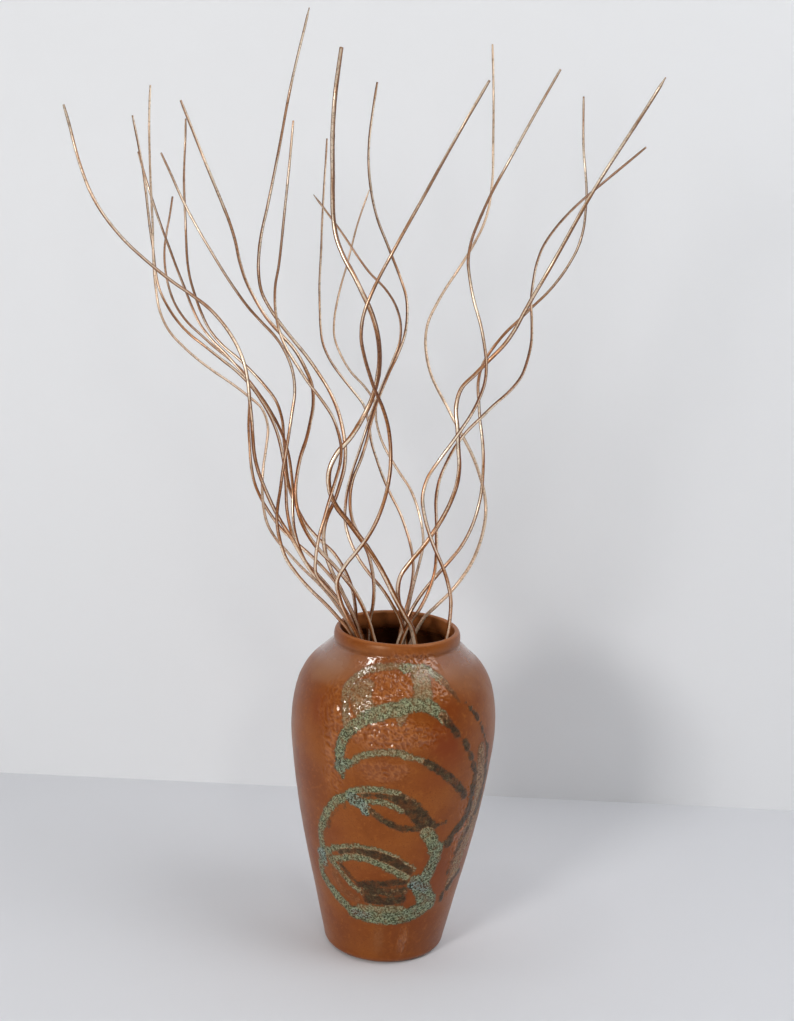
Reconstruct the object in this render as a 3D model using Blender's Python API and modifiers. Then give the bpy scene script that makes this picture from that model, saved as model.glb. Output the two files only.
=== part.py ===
"""Curly branches standing loose in a round-shouldered stoneware vase.

One turned vase and 21 painted branches, each branch a solid of its own that stands on the floor
inside the vase and leans out through its mouth.  Metres, +Z up, -Y towards the viewer.
The origin is the middle of the flat foot that the vase stands on.
"""
import math

import bpy
import numpy as np

MM = 0.001

# Vase, in millimetres
VASE_HEIGHT = 294.0
BELLY_RADIUS = 90.0
BELLY_HEIGHT = 207.0
FOOT_RADIUS = 46.5
FOOT_EDGE = (7.5, 8.0)
COLLAR_RADIUS = 55.3
COLLAR_HEIGHT = 13.5
MOUTH_RADIUS = 49.5
LIP_RADIUS = 51.8
LIP_ROUNDING = 8.0
WALL = 5.5
FLOOR = 9.0
FLOOR_FILLET = 10.0
TURNED_STEPS = 48

# Branches, in millimetres
GAP = 1.0
WALL_GAP = 1.0
CHECKS_BETWEEN = 4
EASING_ROUNDS = 1500
SEAT_GAP = 0.3
SQUARE_END = 12.0
MOUTH_SPREAD = 24.0
FOOT_SPREAD = 27.0
TIP_SPREAD = 120.0
TIP_LEVEL = 794.0
DEPTH_WAVE = 9.0
DEPTH_WAVE_LENGTH = 150.0
GOLDEN_TURN = math.radians(137.5)
HIDDEN_STEP = 28.0
POINT_STEP = 17.0
SPLINE_STEPS = 12
BRANCH_SIDES_STEP = 1

# One row for each branch, in order from the front of the bunch to its back:
# name, foot sideways, thickness low down and at the tip, then its bends from the mouth up,
# each as (sideways, height).  How far back each bend lies follows from the branch's place.
BRANCHES = [
    ("branch_right_1", 20, 3.6, 1.8,
     [(-35, 294), (-48, 320), (-53, 341), (-46, 357), (-32, 378), (-18, 411), (-12, 446), (-16, 483),
      (-31, 522), (-39, 565), (-32, 590), (-19, 618), (2, 660), (32, 720), (48, 750)]),
    ("branch_middle_1", 11, 3.2, 1.5,
     [(-36, 294), (-55, 327), (-70, 346), (-71, 366), (-62, 411), (-53, 460), (-60, 487), (-82, 518),
      (-104, 553), (-109, 583), (-105, 610), (-99, 665), (-96, 716)]),
    ("branch_left_5", 24, 3.4, 1.5,
     [(-42, 294), (-60, 316), (-81, 337), (-98, 359), (-105, 384), (-101, 430), (-95, 477), (-93, 513),
      (-102, 539), (-129, 572), (-158, 615), (-181, 652), (-198, 688)]),
    ("branch_right_3", -18, 3.4, 1.6,
     [(43, 294), (44, 329), (38, 351), (28, 375), (18, 404), (16, 427), (25, 445), (40, 469),
      (54, 496), (61, 522), (57, 557), (46, 593), (42, 618), (52, 658), (72, 702), (103, 763)]),
    ("branch_left_1", 30, 3.6, 1.8,
     [(-37, 294), (-52, 321), (-76, 348), (-90, 370), (-107, 395), (-123, 434), (-128, 487),
      (-135, 525), (-157, 560), (-202, 595), (-232, 623), (-252, 650), (-266, 681), (-277, 721)]),
    ("branch_middle_5", 2, 4.4, 2.8,
     [(13, 294), (0, 318), (-17, 349), (-42, 386), (-61, 416), (-62, 442), (-45, 467), (-31, 495),
      (-25, 530), (-30, 563), (-45, 594), (-62, 624), (-68, 685), (-67, 739), (-64, 773)]),
    ("branch_left_7", 16, 3.6, 1.8,
     [(-23, 294), (-33, 318), (-55, 349), (-78, 376), (-91, 406), (-90, 436), (-82, 468), (-79, 505),
      (-93, 534), (-119, 561), (-138, 592), (-148, 632), (-165, 675), (-177, 701), (-190, 729)]),
    ("branch_right_6", -8, 4.0, 2.2,
     [(12, 294), (1, 314), (0, 341), (18, 367), (35, 396), (45, 431), (42, 474), (41, 503), (58, 524),
      (80, 550), (95, 583), (111, 616), (136, 665), (165, 719), (188, 763)]),
    ("branch_left_4", 26, 2.6, 1.4,
     [(-42, 294), (-62, 322), (-89, 348), (-113, 379), (-120, 419), (-118, 458), (-119, 476),
      (-127, 485), (-143, 498), (-177, 523), (-202, 550), (-212, 586), (-216, 638), (-216, 698),
      (-217, 740)]),
    ("branch_left_3", 34, 3.0, 1.5,
     [(-39, 294), (-60, 325), (-80, 348), (-93, 381), (-96, 416), (-104, 457), (-121, 490),
      (-145, 518), (-176, 548), (-193, 584), (-205, 619), (-219, 660), (-229, 688)]),
    ("branch_middle_2", 8, 3.8, 1.6,
     [(-36, 294), (-51, 325), (-65, 353), (-68, 374), (-57, 411), (-51, 444), (-60, 483), (-85, 522),
      (-110, 553), (-126, 580), (-129, 613), (-123, 656), (-112, 715), (-102, 771), (-95, 808)]),
    ("branch_middle_7", -1, 3.2, 1.6,
     [(-25, 294), (-22, 316), (-28, 356), (-44, 391), (-46, 413), (-36, 446), (-29, 480), (-17, 517),
      (-6, 546), (-5, 574), (-19, 611), (-34, 646), (-42, 690), (-40, 735), (-38, 753)]),
    ("branch_left_8", 20, 3.2, 1.5,
     [(-36, 294), (-41, 324), (-54, 350), (-83, 377), (-99, 406), (-104, 443), (-110, 482),
      (-136, 511), (-171, 540), (-188, 580), (-193, 634), (-197, 674), (-197, 717)]),
    ("branch_right_5", -14, 3.2, 1.6,
     [(10, 294), (20, 311), (30, 340), (30, 375), (29, 420), (44, 455), (71, 485), (95, 512),
      (102, 543), (100, 586), (107, 622), (127, 652), (159, 684), (188, 711)]),
    ("branch_left_2", 29, 3.2, 1.6,
     [(-41, 294), (-62, 323), (-87, 351), (-100, 385), (-105, 422), (-119, 470), (-141, 502),
      (-169, 523), (-199, 545), (-219, 573), (-226, 615), (-232, 667), (-246, 718)]),
    ("branch_middle_3", 5, 3.2, 1.5,
     [(3, 294), (-14, 322), (-36, 347), (-50, 376), (-49, 410), (-39, 449), (-28, 487), (-16, 518),
      (-9, 545), (-18, 575), (-40, 598), (-65, 630), (-90, 659)]),
    ("branch_right_4", -22, 3.2, 1.6,
     [(7, 294), (17, 315), (32, 335), (53, 364), (66, 403), (68, 442), (62, 485), (61, 515),
      (74, 541), (97, 566), (124, 594), (143, 629), (145, 669), (140, 707), (139, 752)]),
    ("branch_middle_4", -6, 2.8, 1.4,
     [(4, 294), (10, 322), (11, 347), (0, 382), (-16, 410), (-30, 446), (-39, 482), (-57, 502),
      (-76, 528), (-82, 564), (-82, 621), (-82, 707)]),
    ("branch_left_6", 19, 3.2, 1.5,
     [(-38, 294), (-54, 321), (-79, 345), (-107, 367), (-129, 401), (-139, 454), (-145, 498),
      (-173, 522), (-205, 553), (-219, 595), (-217, 651)]),
    ("branch_middle_6", 11, 2.8, 1.3,
     [(7, 294), (13, 328), (19, 365), (7, 405), (-12, 430), (-26, 456), (-31, 484), (-53, 509),
      (-68, 538), (-67, 568), (-60, 600), (-52, 636), (-43, 665)]),
    ("branch_right_2", -10, 3.2, 1.6,
     [(22, 294), (45, 319), (65, 350), (74, 388), (63, 430), (39, 473), (16, 515), (13, 544),
      (26, 577), (44, 608), (62, 647), (66, 678), (65, 713), (60, 796)]),
]


def clear_scene():
    for thing in list(bpy.data.objects):
        bpy.data.objects.remove(thing, do_unlink=True)


def principled(name, colour, roughness, metallic):
    material = bpy.data.materials.new(name)
    material.use_nodes = True
    shader = material.node_tree.nodes["Principled BSDF"]
    shader.inputs["Base Color"].default_value = (*colour, 1.0)
    shader.inputs["Roughness"].default_value = roughness
    shader.inputs["Metallic"].default_value = metallic
    return material


def arc(centre, half_width, half_height, start, end, count):
    """Points on an ellipse's arc, from one angle in degrees to another."""
    turns = np.radians(np.linspace(start, end, count))
    return [(centre[0] + half_width * math.cos(t), centre[1] + half_height * math.sin(t)) for t in turns]


def spline(knots, count_between):
    """A smooth curve through the knots, by cubic pieces with tangents weighted by chord."""
    knots = np.asarray(knots, float)
    chord = np.linalg.norm(np.diff(knots, axis=0), axis=1)
    at = np.concatenate([[0.0], np.cumsum(chord)])
    slope = np.gradient(knots, at, axis=0)
    points = []
    for i in range(len(knots) - 1):
        for u in np.linspace(0.0, 1.0, count_between, endpoint=False):
            a = (1 + 2 * u) * (1 - u) ** 2
            b = u * (1 - u) ** 2
            c = u * u * (3 - 2 * u)
            d = u * u * (u - 1)
            points.append(a * knots[i] + c * knots[i + 1] + chord[i] * (b * slope[i] + d * slope[i + 1]))
    points.append(knots[-1])
    return np.array(points)


def shoulder_and_belly():
    """The vase's outer line from under the collar down to its foot's edge: radius, height."""
    collar_foot = VASE_HEIGHT - COLLAR_HEIGHT
    foot_top = FOOT_RADIUS + FOOT_EDGE[0]
    return [(COLLAR_RADIUS + 1.5, collar_foot), (66.5, 271.0), (76.5, 261.0), (83.0, 250.0),
            (88.0, 232.0), (BELLY_RADIUS, BELLY_HEIGHT), (87.2, 174.0), (81.5, 135.0),
            (73.5, 94.0), (64.3, 54.0), (56.6, 19.0), (foot_top, FOOT_EDGE[1])]


def offset_inwards(line, distance):
    line = np.asarray(line, float)
    along = np.gradient(line, axis=0)
    along /= np.linalg.norm(along, axis=1)[:, None]
    inwards = np.stack([along[:, 1], -along[:, 0]], -1)
    return line + distance * inwards


def hollow_line(belly):
    """The wall's inner line, from the throat down to where the floor's fillet starts."""
    line = offset_inwards(belly, WALL)
    return [tuple(point) for point in line if point[1] > FLOOR + FLOOR_FILLET]


def vase_profile():
    """From the inner floor's middle up to the lip, over it, and down outside to the foot's middle."""
    belly = spline(shoulder_and_belly(), 2)
    foot_edge = arc((FOOT_RADIUS, FOOT_EDGE[1]), FOOT_EDGE[0], FOOT_EDGE[1], 0, -90, 4)
    lip_centre = (LIP_RADIUS, VASE_HEIGHT - LIP_ROUNDING)
    inner_lip = LIP_RADIUS - MOUTH_RADIUS
    lip_inside = arc((LIP_RADIUS, VASE_HEIGHT - inner_lip), inner_lip, inner_lip, 180, 90, 4)
    collar = arc(lip_centre, COLLAR_RADIUS - LIP_RADIUS, LIP_ROUNDING, 90, 0, 4)
    collar_foot = [(COLLAR_RADIUS + 0.3, VASE_HEIGHT - COLLAR_HEIGHT + 1.5)]
    outside = collar + collar_foot + [tuple(p) for p in belly] + foot_edge[1:] + [(0.0, 0.0)]
    inner = hollow_line(belly[::2])
    throat = [(MOUTH_RADIUS, VASE_HEIGHT - COLLAR_HEIGHT - 1.0)]
    fillet_centre = (inner[-1][0] - FLOOR_FILLET, FLOOR + FLOOR_FILLET)
    floor_edge = arc(fillet_centre, FLOOR_FILLET, FLOOR_FILLET, -15, -90, 4)
    inside = [(0.0, FLOOR)] + floor_edge[::-1] + inner[::-1] + throat + lip_inside[:-1]
    return inside + outside


def inner_radius(height):
    """Radius of the hollow at a height, for keeping the branches off the wall."""
    wall = hollow_line(spline(shoulder_and_belly(), 2))[::-1]
    floor_edge = [(wall[0][0] - FLOOR_FILLET, FLOOR)]
    throat = [(MOUTH_RADIUS, VASE_HEIGHT - COLLAR_HEIGHT - 1.0), (MOUTH_RADIUS, VASE_HEIGHT)]
    radii, heights = zip(*(floor_edge + wall[:-1] + throat))
    return np.interp(height, heights, radii)


def make_vase(collection):
    points = vase_profile()
    mesh = bpy.data.meshes.new("vase")
    mesh.from_pydata([(r * MM, 0.0, z * MM) for r, z in points],
                     [(i, i + 1) for i in range(len(points) - 1)], [])
    vase = bpy.data.objects.new("vase", mesh)
    collection.objects.link(vase)
    turn = vase.modifiers.new("turned", "SCREW")
    turn.steps = TURNED_STEPS
    turn.render_steps = TURNED_STEPS
    turn.use_merge_vertices = True
    turn.merge_threshold = 0.00001
    turn.use_smooth_shade = True
    mesh.materials.append(principled("glazed_stoneware", (0.27, 0.11, 0.055), 0.42, 0.0))
    return vase


def depth_at(place, height):
    """How far back a branch stands at a height; place runs from -1 in front to 1 behind."""
    rise = np.clip((height - VASE_HEIGHT) / (TIP_LEVEL - VASE_HEIGHT), 0.0, 1.1)
    grow = np.clip(rise / 0.2, 0.0, 1.0)
    grow = grow * grow * (3 - 2 * grow)
    turn = GOLDEN_TURN * (place + 1) * (len(BRANCHES) - 1) / 2
    wave = DEPTH_WAVE * grow * np.sin(2 * math.pi * height / DEPTH_WAVE_LENGTH + turn)
    return place * (MOUTH_SPREAD + TIP_SPREAD * rise) + wave


def route_of(index):
    """A branch's middle line from its foot on the vase's floor to its tip, evenly stepped."""
    name, foot, low, tip, bends = BRANCHES[index]
    place = 2.0 * index / (len(BRANCHES) - 1) - 1.0
    seat = FLOOR + SEAT_GAP
    mouth = bends[0]
    rise = mouth[1] - seat
    inside = [(foot, seat), (foot, seat + SQUARE_END)]
    inside += [(foot + (mouth[0] - foot) * share ** 1.6, seat + rise * share) for share in (0.3, 0.62)]
    flat = spline(inside[1:] + bends, SPLINE_STEPS)
    depth = depth_at(place, flat[:, 1])
    hidden = np.clip((VASE_HEIGHT - flat[:, 1]) / rise, 0.0, 1.0)
    depth += place * (FOOT_SPREAD - MOUTH_SPREAD) * hidden
    fine = np.stack([flat[:, 0], depth, flat[:, 1]], -1)
    length = np.concatenate([[0.0], np.cumsum(np.linalg.norm(np.diff(fine, axis=0), axis=1))])
    mouth_at = length[SPLINE_STEPS * (len(inside) - 1)]
    below = np.linspace(0.0, mouth_at, int(round(mouth_at / HIDDEN_STEP)), endpoint=False)
    above = np.linspace(mouth_at, length[-1], int(round((length[-1] - mouth_at) / POINT_STEP)) + 1)
    at = np.concatenate([below, above])
    points = np.stack([np.interp(at, length, fine[:, k]) for k in range(3)], -1)
    points = np.vstack([[points[0, 0], points[0, 1], seat], points])
    share = np.concatenate([[0.0], np.cumsum(np.linalg.norm(np.diff(points, axis=0), axis=1))])
    share /= share[-1]
    radius = 0.5 * (low + (tip - low) * share ** 0.9)
    return points, radius


def subdivide(points, radius, first_row):
    """Closer places along a branch: the lower point's row, the share past it, place, radius."""
    share = np.arange(0, len(points) - 1 + 1e-9, 1.0 / CHECKS_BETWEEN)
    low = np.minimum(share.astype(int), len(points) - 2)
    part = share - low
    places = points[low] * (1 - part)[:, None] + points[low + 1] * part[:, None]
    return first_row + low, part, places, radius[low] * (1 - part) + radius[low + 1] * part


def close_pairs(places, thick, owner):
    """Places of two branches that cross as seen from the front, and the depth each pair needs."""
    pairs = []
    needs = []
    for i in range(len(places)):
        later = np.nonzero(owner > owner[i])[0]
        apart = np.hypot(places[later, 0] - places[i, 0], places[later, 2] - places[i, 2])
        need = thick[later] + thick[i] + GAP
        close = apart < need
        pairs += [(i, j) for j in later[close]]
        needs.append(np.sqrt(need[close] ** 2 - apart[close] ** 2))
    return np.array(pairs), np.concatenate(needs)


def room_in_depth(points, radius):
    """How far forward or back a point inside the vase may stand, and which points are inside."""
    room = inner_radius(points[:, 2]) - radius - WALL_GAP
    inside = points[:, 2] < VASE_HEIGHT + 2.0
    return inside, np.sqrt(np.maximum(room ** 2 - points[:, 0] ** 2, 0.0))[inside]


def ease_apart(routes, radii):
    """Slides the points front to back only, until the branches clear each other and the wall."""
    sizes = [len(points) for points in routes]
    first_rows = np.concatenate([[0], np.cumsum(sizes)])[:-1]
    closer = [subdivide(*branch) for branch in zip(routes, radii, first_rows)]
    low, part, places, thick = (np.concatenate(column) for column in zip(*closer))
    owner = np.repeat(np.arange(len(routes)), [len(each[1]) for each in closer])
    pairs, needs = close_pairs(places, thick, owner)
    front, behind = pairs[:, 0], pairs[:, 1]
    laid = np.vstack(routes)
    inside, limit = room_in_depth(laid, np.concatenate(radii))
    is_end = np.zeros(len(laid), bool)
    is_end[first_rows] = True
    is_end[first_rows + sizes - 1] = True
    middle = np.nonzero(~is_end)[0]
    depth = laid[:, 1].copy()
    for turn in range(EASING_ROUNDS):
        at = depth[low] * (1 - part) + depth[low + 1] * part
        short = np.maximum(needs - (at[behind] - at[front]), 0.0)
        back = np.zeros(len(places))
        forward = np.zeros(len(places))
        np.maximum.at(back, behind, short)
        np.maximum.at(forward, front, short)
        move = 0.5 * (back - forward)
        most_back = np.zeros(len(depth))
        most_forward = np.zeros(len(depth))
        for row, near in ((low, part < 0.8), (low + 1, part > 0.2)):
            np.maximum.at(most_back, row[near], move[near])
            np.minimum.at(most_forward, row[near], move[near])
        depth += 0.7 * (most_back + most_forward)
        shift = depth - laid[:, 1]
        soften = 0.25 * max(0.0, 1.0 - 1.5 * turn / EASING_ROUNDS)
        shift[middle] += soften * (shift[middle - 1] + shift[middle + 1] - 2 * shift[middle])
        depth = laid[:, 1] + shift
        depth[inside] = np.clip(depth[inside], -limit, limit)
        depth[first_rows] = depth[first_rows + 1]
    for points, row in zip(routes, first_rows):
        points[:, 1] = depth[row:row + len(points)]


def make_branch(name, points, radius, collection):
    curve = bpy.data.curves.new(name, "CURVE")
    curve.dimensions = "3D"
    curve.bevel_depth = radius[0] * MM
    curve.bevel_resolution = BRANCH_SIDES_STEP
    curve.use_fill_caps = True
    line = curve.splines.new("POLY")
    line.points.add(len(points) - 1)
    for knot, place, thick in zip(line.points, points, radius):
        knot.co = (*(place * MM), 1.0)
        knot.radius = thick / radius[0]
    branch = bpy.data.objects.new(name, curve)
    collection.objects.link(branch)
    curve.materials.append(principled("painted_bark_" + name, (0.42, 0.21, 0.11), 0.38, 0.65))
    return branch


clear_scene()
bunch = bpy.data.collections.new("curly_branches_in_vase")
bpy.context.scene.collection.children.link(bunch)
make_vase(bunch)
laid = [route_of(index) for index in range(len(BRANCHES))]
routes = [points for points, radius in laid]
radii = [radius for points, radius in laid]
ease_apart(routes, radii)
for (name, *_), points, radius in zip(BRANCHES, routes, radii):
    make_branch(name, points, radius, bunch)
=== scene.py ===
"""Looks of the curly branches in a vase: camera, plain pale set, glazed vase and 21 painted branches.

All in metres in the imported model's frame: +Z up, -Y towards the viewer, the origin under the foot's middle.
"""
import math

import bmesh
import bpy
import numpy as np
from mathutils import Matrix, Vector, noise


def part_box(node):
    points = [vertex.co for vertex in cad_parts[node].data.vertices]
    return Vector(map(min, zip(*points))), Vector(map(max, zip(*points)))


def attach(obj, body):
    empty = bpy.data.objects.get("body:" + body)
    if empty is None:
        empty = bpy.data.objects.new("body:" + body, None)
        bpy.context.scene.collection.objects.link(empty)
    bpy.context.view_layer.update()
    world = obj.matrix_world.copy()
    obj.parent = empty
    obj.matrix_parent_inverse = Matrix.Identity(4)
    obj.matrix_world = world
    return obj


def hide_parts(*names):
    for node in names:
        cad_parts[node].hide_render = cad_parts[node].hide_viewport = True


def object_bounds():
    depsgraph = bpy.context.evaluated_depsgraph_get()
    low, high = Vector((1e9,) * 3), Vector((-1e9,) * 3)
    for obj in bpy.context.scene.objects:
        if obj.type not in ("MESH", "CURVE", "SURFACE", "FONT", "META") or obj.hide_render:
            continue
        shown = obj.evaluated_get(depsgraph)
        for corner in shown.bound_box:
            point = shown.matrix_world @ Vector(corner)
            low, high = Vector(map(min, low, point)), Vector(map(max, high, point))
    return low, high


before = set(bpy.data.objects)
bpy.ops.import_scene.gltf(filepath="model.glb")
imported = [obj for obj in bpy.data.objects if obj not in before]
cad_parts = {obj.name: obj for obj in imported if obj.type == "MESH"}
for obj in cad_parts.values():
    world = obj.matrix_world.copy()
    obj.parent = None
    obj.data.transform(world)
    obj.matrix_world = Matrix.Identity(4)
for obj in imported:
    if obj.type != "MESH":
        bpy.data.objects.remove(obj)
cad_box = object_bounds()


# The camera is held 1.3 m in front of the vase, a little above the middle of the branches.
# It looks slightly down and leans by under three degrees to one side.
CAMERA_PLACE = (0.0001, -1.3137, 0.6854)
CAMERA_DOWN = math.radians(12.355)
CAMERA_LEAN = math.radians(2.656)
CAMERA_ASIDE = math.radians(-0.234)
CAMERA_LENS = 55.21
SENSOR_LONG_SIDE = 36.0


def camera_turn(aside, down, lean):
    """The camera's rotation: right, up and back are its three columns."""
    ahead = Vector((math.sin(aside) * math.cos(down), math.cos(aside) * math.cos(down), -math.sin(down)))
    level = Vector((math.cos(aside), -math.sin(aside), 0.0))
    upright = level.cross(ahead)
    right = level * math.cos(lean) + upright * math.sin(lean)
    up = upright * math.cos(lean) - level * math.sin(lean)
    return Matrix((right, up, -ahead)).transposed().to_4x4()


camera = bpy.data.objects.new("camera", bpy.data.cameras.new("camera"))
bpy.context.scene.collection.objects.link(camera)
camera.matrix_world = Matrix.Translation(CAMERA_PLACE) @ camera_turn(CAMERA_ASIDE, CAMERA_DOWN, CAMERA_LEAN)
camera.data.lens = CAMERA_LENS
camera.data.sensor_width = SENSOR_LONG_SIDE
camera.data.sensor_fit = "AUTO"
bpy.context.scene.camera = camera
bpy.context.scene.view_settings.view_transform = "Standard"


# The set is a plain pale floor and a plain pale wall close behind the vase.
# From behind the wall is clear, so that the vase is seen from every side.
MM = 0.001
FLOOR_HALF_WIDTH = 4.0
WALL_BEHIND = 0.34
WALL_TOP = 3.0
FLOOR_DROP = 0.2 * MM


def linear(red, green, blue):
    """A colour given as 0 to 255 on a screen, as the shaders want it."""
    parts = [(c / 255 + 0.055) / 1.055 for c in (red, green, blue)]
    return (*[max(p, 0.055) ** 2.4 for p in parts], 1.0)


def new_node(tree, kind, values=None, **settings):
    """Adds a node: settings are its properties, values its inputs, each a number or a socket to link."""
    made = tree.nodes.new(kind)
    for name, value in settings.items():
        setattr(made, name, value)
    for name, value in (values or {}).items():
        if isinstance(value, bpy.types.NodeSocket):
            tree.links.new(value, made.inputs[name])
        else:
            made.inputs[name].default_value = value
    return made


def new_material(name):
    """A material with its node tree and its Principled shader."""
    material = bpy.data.materials.new(name)
    material.use_nodes = True
    return material, material.node_tree, material.node_tree.nodes["Principled BSDF"]


def flat_sheet(name, corners, material):
    """A flat part of the set, which isn't part of the object."""
    mesh = bpy.data.meshes.new(name)
    mesh.from_pydata(corners, [], [range(len(corners))])
    mesh.materials.append(material)
    sheet = bpy.data.objects.new(name, mesh)
    bpy.context.scene.collection.objects.link(sheet)


floor_paint, _, floor_shader = new_material("pale_floor")
floor_shader.inputs["Base Color"].default_value = linear(220, 221, 225)
floor_shader.inputs["Roughness"].default_value = 0.9
wall_paint, wall_tree, wall_shader = new_material("pale_wall")
wall_shader.inputs["Base Color"].default_value = linear(238, 239, 241)
wall_shader.inputs["Roughness"].default_value = 0.95
facing = new_node(wall_tree, "ShaderNodeNewGeometry")
clear = new_node(wall_tree, "ShaderNodeBsdfTransparent")
wall_mix = new_node(wall_tree, "ShaderNodeMixShader", {0: facing.outputs["Backfacing"],
                    1: wall_shader.outputs[0], 2: clear.outputs[0]})
wall_tree.links.new(wall_mix.outputs[0], wall_tree.nodes["Material Output"].inputs["Surface"])
side = FLOOR_HALF_WIDTH
flat_sheet("floor", [(-side, -side, -FLOOR_DROP), (side, -side, -FLOOR_DROP),
                     (side, side, -FLOOR_DROP), (-side, side, -FLOOR_DROP)], floor_paint)
flat_sheet("wall", [(-side, WALL_BEHIND, -FLOOR_DROP), (side, WALL_BEHIND, -FLOOR_DROP),
                    (side, WALL_BEHIND, WALL_TOP), (-side, WALL_BEHIND, WALL_TOP)], wall_paint)


# The vase is thrown stoneware with a rust-brown, half-matt glaze that has crawled into raised skin
# in places. Loops of grey-green and dark-brown glaze are trailed over its front while it turns.
# It stands on its flat, bare foot. Its measures are in mm until the mesh is made.
VASE_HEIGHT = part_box("vase")[1].z / MM
BELLY_LINE = [(56.8, 280.5), (66.5, 271.0), (76.5, 261.0), (83.0, 250.0), (88.0, 232.0), (90.0, 207.0),
              (87.2, 174.0), (81.5, 135.0), (73.5, 94.0), (64.3, 54.0), (56.6, 19.0), (54.0, 8.0)]
LIP_RADIUS = 51.8
LIP_INSIDE = 2.3
COLLAR_OUT = 3.5
COLLAR_DOWN = 8.0
FOOT_RADIUS = 46.5
FOOT_EDGE = (7.5, 8.0)
VASE_WALL = 5.5
INNER_FLOOR = 9.0
INNER_FILLET = 10.0
THROAT_RADIUS = 49.5
THROAT_LEVELS = (279.5, 283.0, 287.0)
FLOOR_RINGS = (0.0, 14.0, 28.0)
UNDER_RINGS = (42.0, 30.0, 15.0, 0.0)
CREASE = [(55.2, 285.1), (54.9, 284.1), (54.8, 283.1), (55.1, 282.1), (55.8, 281.3)]
CREASE_LEVEL = 283.0
CREASE_SPREAD = 1.6

# Steps in degrees are finer over the front than over the plain back. Steps in mm along the outline
# are finest on the upper part and coarse inside.
FRONT_TURNS = (-70.0, 88.0)
FRONT_STEP = 0.7
BACK_STEP = 2.2
ROW_STEPS = {"upper": 1.05, "lower": 1.75, "hidden": 6.0}
FINE_DOWN_TO = 160.0

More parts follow.
